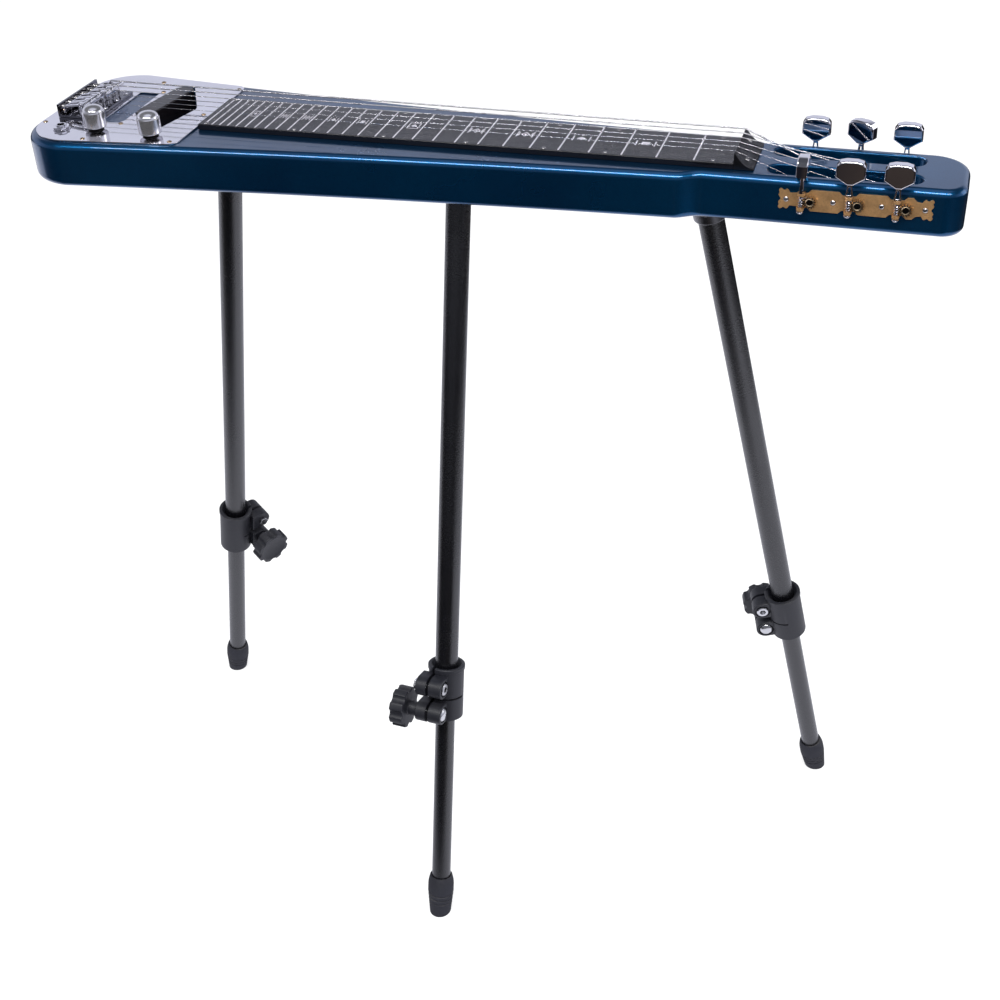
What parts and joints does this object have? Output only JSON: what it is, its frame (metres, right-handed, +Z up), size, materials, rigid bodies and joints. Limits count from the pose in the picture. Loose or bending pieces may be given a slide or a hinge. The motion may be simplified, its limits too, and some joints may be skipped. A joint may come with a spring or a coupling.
{
  "type": "lap steel guitar on telescopic legs",
  "caption": "Solid-body lap steel guitar with a slotted head, open worm-gear tuners, a bent-saddle bridge on a chrome control plate, and splayed telescopic legs.",
  "frame": {"origin": "on the floor, under the middle of the whole guitar's box", "axes": "+X along the strings from the bridge to the head, +Y away from the player's tone and volume knobs across the strings, +Z up"},
  "size_m": [0.8022, 0.3322, 0.7894],
  "materials": {
    "blue_lacquer": "high-gloss metallic blue lacquer over wood",
    "plate_chrome": "polished chrome plate",
    "pickup_black": "gloss black",
    "fretboard_black": "black with silver fret lines",
    "nut_gunmetal": "dark grey cast metal",
    "saddle_steel": "plated bent steel",
    "string_steel": "plain and wound steel",
    "gear_steel": "nickel-plated steel",
    "knob_chrome": "polished chrome",
    "tuner_brass": "antique brass",
    "socket_zinc": "bright zinc",
    "leg_black": "black crackle paint",
    "clamp_black": "black moulded nylon",
    "foot_rubber": "black rubber"
  },
  "bodies": {
    "guitar": {"body": "blue_lacquer", "control_plate": "plate_chrome", "pickup": "pickup_black", "fretboard": "fretboard_black", "nut": "nut_gunmetal", "bridge_base": "plate_chrome", "saddle_1": "saddle_steel", "saddle_2": "saddle_steel", "saddle_3": "saddle_steel", "saddle_4": "saddle_steel", "saddle_5": "saddle_steel", "saddle_6": "saddle_steel", "string_1": "string_steel", "string_2": "string_steel", "string_3": "string_steel", "string_4": "string_steel", "string_5": "string_steel", "string_6": "string_steel", "potentiometer_1": "gear_steel", "potentiometer_2": "gear_steel", "output_socket": "knob_chrome", "tuner_plate_near": "tuner_brass", "tuner_plate_far": "tuner_brass", "leg_socket_tail": "socket_zinc", "upper_tube_tail": "leg_black", "clamp_collar_tail": "clamp_black", "clamp_bolt_tail": "socket_zinc", "leg_socket_middle": "socket_zinc", "upper_tube_middle": "leg_black", "clamp_collar_middle": "clamp_black", "clamp_bolt_middle": "socket_zinc", "leg_socket_head": "socket_zinc", "upper_tube_head": "leg_black", "clamp_collar_head": "clamp_black", "clamp_bolt_head": "socket_zinc"},
    "knob_1": {"control_knob_1": "knob_chrome"},
    "knob_2": {"control_knob_2": "knob_chrome"},
    "button_near_1": {"tuner_shaft_near_1": "knob_chrome"},
    "post_near_1": {"string_post_near_1": "gear_steel"},
    "button_near_2": {"tuner_shaft_near_2": "knob_chrome"},
    "post_near_2": {"string_post_near_2": "gear_steel"},
    "button_near_3": {"tuner_shaft_near_3": "knob_chrome"},
    "post_near_3": {"string_post_near_3": "gear_steel"},
    "button_far_1": {"tuner_shaft_far_1": "knob_chrome"},
    "post_far_1": {"string_post_far_1": "gear_steel"},
    "button_far_2": {"tuner_shaft_far_2": "knob_chrome"},
    "post_far_2": {"string_post_far_2": "gear_steel"},
    "button_far_3": {"tuner_shaft_far_3": "knob_chrome"},
    "post_far_3": {"string_post_far_3": "gear_steel"},
    "lower_leg_tail": {"lower_tube_tail": "leg_black", "foot_tail": "foot_rubber"},
    "star_knob_tail": {"clamp_knob_tail": "clamp_black"},
    "lower_leg_middle": {"lower_tube_middle": "leg_black", "foot_middle": "foot_rubber"},
    "star_knob_middle": {"clamp_knob_middle": "clamp_black"},
    "lower_leg_head": {"lower_tube_head": "leg_black", "foot_head": "foot_rubber"},
    "star_knob_head": {"clamp_knob_head": "clamp_black"}
  },
  "joints": [
    {"name": "knob_1_turn", "type": "hinge", "parent": "guitar", "child": "knob_1", "pos_m": [-0.33095, -0.02406, 0.7675], "axis": [0, 0, 1], "range_deg": [-300, 0]},
    {"name": "knob_2_turn", "type": "hinge", "parent": "guitar", "child": "knob_2", "pos_m": [-0.27585, -0.02856, 0.7675], "axis": [0, 0, 1], "range_deg": [-300, 0]},
    {"name": "button_near_1_turn", "type": "hinge", "parent": "guitar", "child": "button_near_1", "pos_m": [0.27655, -0.01296, 0.7504], "axis": [0, 0, 1], "continuous": true},
    {"name": "post_near_1_turn", "type": "hinge", "parent": "guitar", "child": "post_near_1", "pos_m": [0.28355, 0.02994, 0.7504], "axis": [0, 1, 0], "continuous": true},
    {"name": "button_near_2_turn", "type": "hinge", "parent": "guitar", "child": "button_near_2", "pos_m": [0.31305, -0.01296, 0.7504], "axis": [0, 0, 1], "continuous": true},
    {"name": "post_near_2_turn", "type": "hinge", "parent": "guitar", "child": "post_near_2", "pos_m": [0.32005, 0.02994, 0.7504], "axis": [0, 1, 0], "continuous": true},
    {"name": "button_near_3_turn", "type": "hinge", "parent": "guitar", "child": "button_near_3", "pos_m": [0.34955, -0.01296, 0.7504], "axis": [0, 0, 1], "continuous": true},
    {"name": "post_near_3_turn", "type": "hinge", "parent": "guitar", "child": "post_near_3", "pos_m": [0.35655, 0.02994, 0.7504], "axis": [0, 1, 0], "continuous": true},
    {"name": "button_far_1_turn", "type": "hinge", "parent": "guitar", "child": "button_far_1", "pos_m": [0.27655, 0.07284, 0.7504], "axis": [0, 0, 1], "continuous": true},
    {"name": "post_far_1_turn", "type": "hinge", "parent": "guitar", "child": "post_far_1", "pos_m": [0.28355, 0.02994, 0.7504], "axis": [0, 1, 0], "continuous": true},
    {"name": "button_far_2_turn", "type": "hinge", "parent": "guitar", "child": "button_far_2", "pos_m": [0.31305, 0.07284, 0.7504], "axis": [0, 0, 1], "continuous": true},
    {"name": "post_far_2_turn", "type": "hinge", "parent": "guitar", "child": "post_far_2", "pos_m": [0.32005, 0.02994, 0.7504], "axis": [0, 1, 0], "continuous": true},
    {"name": "button_far_3_turn", "type": "hinge", "parent": "guitar", "child": "button_far_3", "pos_m": [0.34955, 0.07284, 0.7504], "axis": [0, 0, 1], "continuous": true},
    {"name": "post_far_3_turn", "type": "hinge", "parent": "guitar", "child": "post_far_3", "pos_m": [0.35655, 0.02994, 0.7504], "axis": [0, 1, 0], "continuous": true},
    {"name": "leg_tail_slide", "type": "slide", "parent": "guitar", "child": "lower_leg_tail", "axis": [-0.1998, 0.1452, -0.969], "range_m": [-0.18, 0.05]},
    {"name": "star_knob_tail_turn", "type": "hinge", "parent": "guitar", "child": "star_knob_tail", "pos_m": [-0.30464, 0.11772, 0.2264], "axis": [0.823, -0.5118, -0.2464], "range_deg": [0, 720]},
    {"name": "leg_middle_slide", "type": "slide", "parent": "guitar", "child": "lower_leg_middle", "axis": [0, -0.247, -0.969], "range_m": [-0.18, 0.05]},
    {"name": "star_knob_middle_turn", "type": "hinge", "parent": "guitar", "child": "star_knob_middle", "pos_m": [-0.05139, -0.11546, 0.23853], "axis": [-0.9962, 0.0845, -0.0215], "range_deg": [0, 720]},
    {"name": "leg_head_slide", "type": "slide", "parent": "guitar", "child": "lower_leg_head", "axis": [0.1716, 0.1777, -0.969], "range_m": [-0.18, 0.05]},
    {"name": "star_knob_head_turn", "type": "hinge", "parent": "guitar", "child": "star_knob_head", "pos_m": [0.25589, 0.13607, 0.23255], "axis": [-0.2699, 0.9544, 0.1272], "range_deg": [0, 720]}
  ],
  "couplings": [
    {"joint": "post_near_1_turn", "follows": "button_near_1_turn", "ratio": -0.071429},
    {"joint": "post_near_2_turn", "follows": "button_near_2_turn", "ratio": -0.071429},
    {"joint": "post_near_3_turn", "follows": "button_near_3_turn", "ratio": -0.071429},
    {"joint": "post_far_1_turn", "follows": "button_far_1_turn", "ratio": -0.071429},
    {"joint": "post_far_2_turn", "follows": "button_far_2_turn", "ratio": -0.071429},
    {"joint": "post_far_3_turn", "follows": "button_far_3_turn", "ratio": -0.071429}
  ]
}
